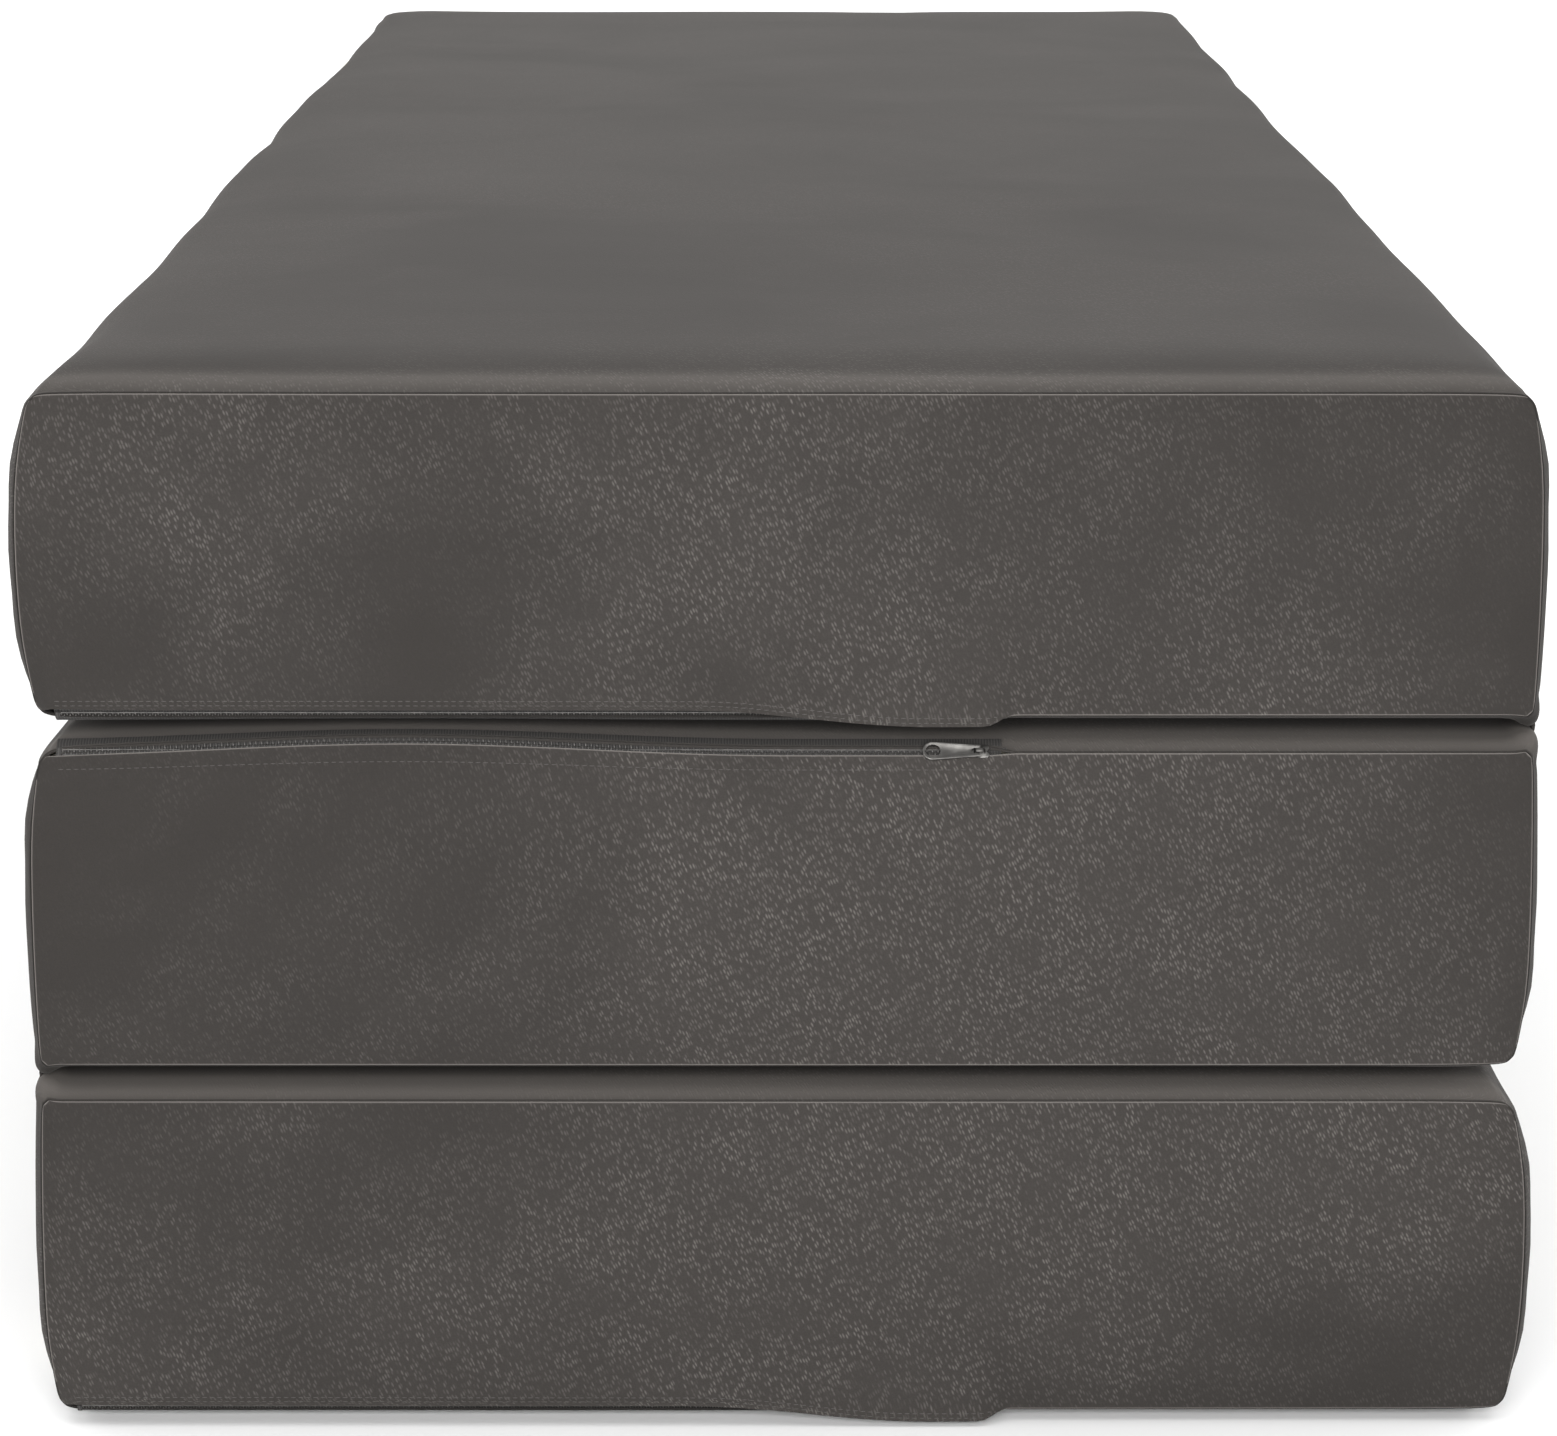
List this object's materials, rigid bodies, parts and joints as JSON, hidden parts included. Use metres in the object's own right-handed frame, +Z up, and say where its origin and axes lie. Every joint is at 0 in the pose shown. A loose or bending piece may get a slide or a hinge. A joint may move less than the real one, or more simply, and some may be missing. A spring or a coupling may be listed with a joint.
{
  "type": "folding sofa bed",
  "caption": "Foam sofa bed of velvet-covered panels that stack as a low seat and unfold end over end into a flat bed; each cover closes with a zip.",
  "frame": {"origin": "on the floor, under the middle of the folded stack", "axes": "+X to the right seen from the zip end, +Y along the panels away from the zips, +Z up"},
  "size_m": [0.6494, 1.608, 0.4625],
  "materials": {
    "velvet": "matte",
    "foam": "matte",
    "zip_tape": "matte",
    "zip_teeth": "satin",
    "zip_metal": "satin"
  },
  "bodies": {
    "bottom_panel": {"bottom_foam": "foam", "bottom_cover": "velvet", "bottom_front_panel": "velvet", "bottom_rear_panel": "velvet", "bottom_zip_tape": "zip_tape", "bottom_zip_chain": "zip_teeth", "bottom_zip_stops": "zip_metal", "left_hinge_strip": "velvet"},
    "middle_panel": {"middle_foam": "foam", "middle_cover": "velvet", "middle_front_panel": "velvet", "middle_rear_panel": "velvet", "middle_zip_tape": "zip_tape", "middle_zip_chain": "zip_teeth", "middle_zip_stops": "zip_metal", "right_hinge_strip": "velvet"},
    "top_panel": {"top_foam": "foam", "top_cover": "velvet", "top_front_panel": "velvet", "top_rear_panel": "velvet", "top_zip_tape": "zip_tape", "top_zip_chain": "zip_teeth", "top_zip_stops": "zip_metal"},
    "bottom_slider": {"bottom_zip_slider": "zip_metal"},
    "bottom_pull": {"bottom_zip_pull": "zip_metal"},
    "middle_slider": {"middle_zip_slider": "zip_metal"},
    "middle_pull": {"middle_zip_pull": "zip_metal"},
    "top_slider": {"top_zip_slider": "zip_metal"},
    "top_pull": {"top_zip_pull": "zip_metal"}
  },
  "joints": [
    {"name": "left_fold", "type": "hinge", "parent": "bottom_panel", "child": "middle_panel", "pos_m": [-0.32489, 0, 0.15415], "axis": [0, -1, 0], "range_deg": [0, 180], "deforming": ["left_hinge_strip"]},
    {"name": "right_fold", "type": "hinge", "parent": "middle_panel", "child": "top_panel", "pos_m": [0.32489, 0, 0.30845], "axis": [0, 1, 0], "range_deg": [0, 180], "deforming": ["right_hinge_strip"]},
    {"name": "bottom_zip_slide", "type": "slide", "parent": "bottom_panel", "child": "bottom_slider", "axis": [-1, 0, 0], "range_m": [0, 0.382], "deforming": ["bottom_zip_chain"]},
    {"name": "bottom_pull_swing", "type": "hinge", "parent": "bottom_slider", "child": "bottom_pull", "pos_m": [0.0835, -0.79983, 0.00461], "axis": [0, -0.5299, 0.848], "range_deg": [0, 180]},
    {"name": "middle_zip_slide", "type": "slide", "parent": "middle_panel", "child": "middle_slider", "axis": [-1, 0, 0], "range_m": [0, 0.382], "deforming": ["middle_zip_chain"]},
    {"name": "middle_pull_swing", "type": "hinge", "parent": "middle_slider", "child": "middle_pull", "pos_m": [0.0835, -0.79983, 0.30169], "axis": [0, 0.5299, 0.848], "range_deg": [0, 180]},
    {"name": "top_zip_slide", "type": "slide", "parent": "top_panel", "child": "top_slider", "axis": [-1, 0, 0], "range_m": [0, 0.382], "deforming": ["top_zip_chain"]},
    {"name": "top_pull_swing", "type": "hinge", "parent": "top_slider", "child": "top_pull", "pos_m": [0.0835, -0.79983, 0.31521], "axis": [0, -0.5299, 0.848], "range_deg": [0, 180]}
  ]
}
